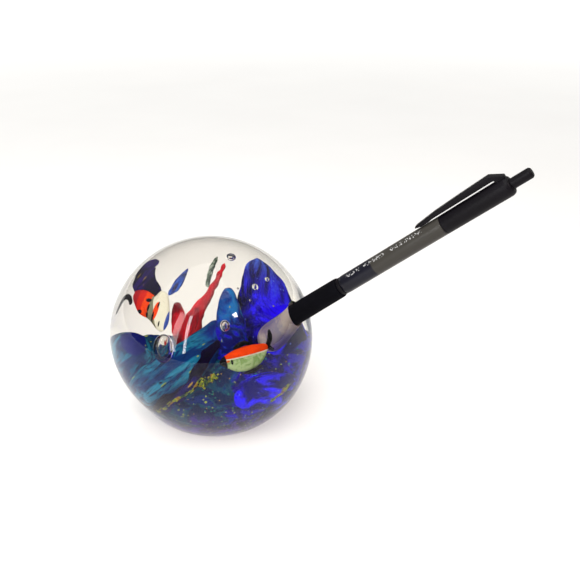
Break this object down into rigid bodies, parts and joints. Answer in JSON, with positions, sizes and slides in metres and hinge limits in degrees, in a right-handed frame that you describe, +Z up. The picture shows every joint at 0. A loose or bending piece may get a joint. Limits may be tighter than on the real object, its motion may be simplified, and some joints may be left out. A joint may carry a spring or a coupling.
{
  "type": "glass paperweight with pen socket",
  "caption": "Clear glass globe paperweight with a glass reef and fish inside, a flat base and an angled socket that holds a retractable ballpoint pen.",
  "frame": {"origin": "centre of the flat base that the globe rests on", "axes": "+Z up, -Y towards the reef's front, the pen leans to +X and a little to -Y"},
  "size_m": [0.1729, 0.0956, 0.1335],
  "materials": {
    "clear_glass": "polished",
    "reef_glass": "polished",
    "teal_glass": "polished",
    "cobalt_glass": "polished",
    "violet_glass": "polished",
    "frit_glass": "polished",
    "coral_glass": "polished",
    "leaf_glass": "polished",
    "smoke_glass": "polished",
    "fish_black_glass": "polished",
    "fish_orange_glass": "polished",
    "fish_green_glass": "polished",
    "fish_white_glass": "polished",
    "fish_red_glass": "polished",
    "barrel_plastic": "satin",
    "housing_plastic": "matte",
    "grip_rubber": "matte",
    "cam_plastic": "satin",
    "refill_plastic": "satin",
    "ink": "gloss",
    "point_brass": "polished",
    "spring_steel": "polished"
  },
  "bodies": {
    "globe": {"clear_casing": "clear_glass", "clear_core": "clear_glass", "reef_base": "reef_glass", "teal_wave": "teal_glass", "left_mound": "teal_glass", "cobalt_drift": "cobalt_glass", "cobalt_peak": "cobalt_glass", "azure_peak": "cobalt_glass", "violet_band": "violet_glass", "indigo_wisp": "violet_glass", "frit_trail_left": "frit_glass", "frit_trail_middle": "frit_glass", "frit_trail_right": "frit_glass", "red_coral": "coral_glass", "blue_leaf": "leaf_glass", "smoke_strand": "smoke_glass", "fish_one_dorsal_fin": "fish_black_glass", "fish_one_pelvic_fin": "fish_black_glass", "fish_one_tail": "fish_black_glass", "fish_one_head": "fish_black_glass", "fish_two_tail": "fish_black_glass", "fish_two_top_fin": "fish_black_glass", "fish_one_back": "fish_orange_glass", "fish_two_stripe": "fish_orange_glass", "fish_one_belly": "fish_green_glass", "fish_two_face": "fish_white_glass", "fish_two_flank": "fish_red_glass"},
    "pen": {"pen_barrel": "barrel_plastic", "pen_nose": "barrel_plastic", "pen_grip": "grip_rubber", "pen_collar": "housing_plastic", "clip_housing": "housing_plastic", "return_spring": "spring_steel"},
    "button": {"push_button": "housing_plastic"},
    "refill": {"refill_tube": "refill_plastic", "ink_column": "ink", "refill_point": "point_brass", "tip_ball": "spring_steel"},
    "rotor": {"cam_rotor": "cam_plastic"},
    "clip": {"pen_clip": "housing_plastic"}
  },
  "joints": [
    {"name": "pen_lift", "type": "slide", "parent": "globe", "child": "pen", "axis": [0.7279, -0.2722, 0.6293], "range_m": [0, 0.06]},
    {"name": "button_press", "type": "slide", "parent": "pen", "child": "button", "axis": [-0.7279, 0.2722, -0.6293], "range_m": [0, 0.005], "stiffness_N_per_m": 200, "springref_m": -0.004},
    {"name": "refill_slide", "type": "slide", "parent": "pen", "child": "refill", "axis": [-0.7279, 0.2722, -0.6293], "range_m": [0, 0.005], "deforming": ["return_spring"]},
    {"name": "rotor_turn", "type": "hinge", "parent": "refill", "child": "rotor", "pos_m": [0.10287, -0.03906, 0.11468], "axis": [0.7279, -0.2722, 0.6293], "range_deg": [0, 60.5]},
    {"name": "clip_flex", "type": "hinge", "parent": "pen", "child": "clip", "pos_m": [0.11312, -0.04289, 0.12818], "axis": [0.3502, 0.9367, 0], "range_deg": [0, 6], "stiffness_Nm_per_rad": 0.6, "springref_deg": -1.15}
  ],
  "couplings": [
    {"joint": "refill_slide", "follows": "button_press", "ratio": 1},
    {"joint": "rotor_turn", "follows": "button_press", "rad_per_m": 209.44}
  ]
}
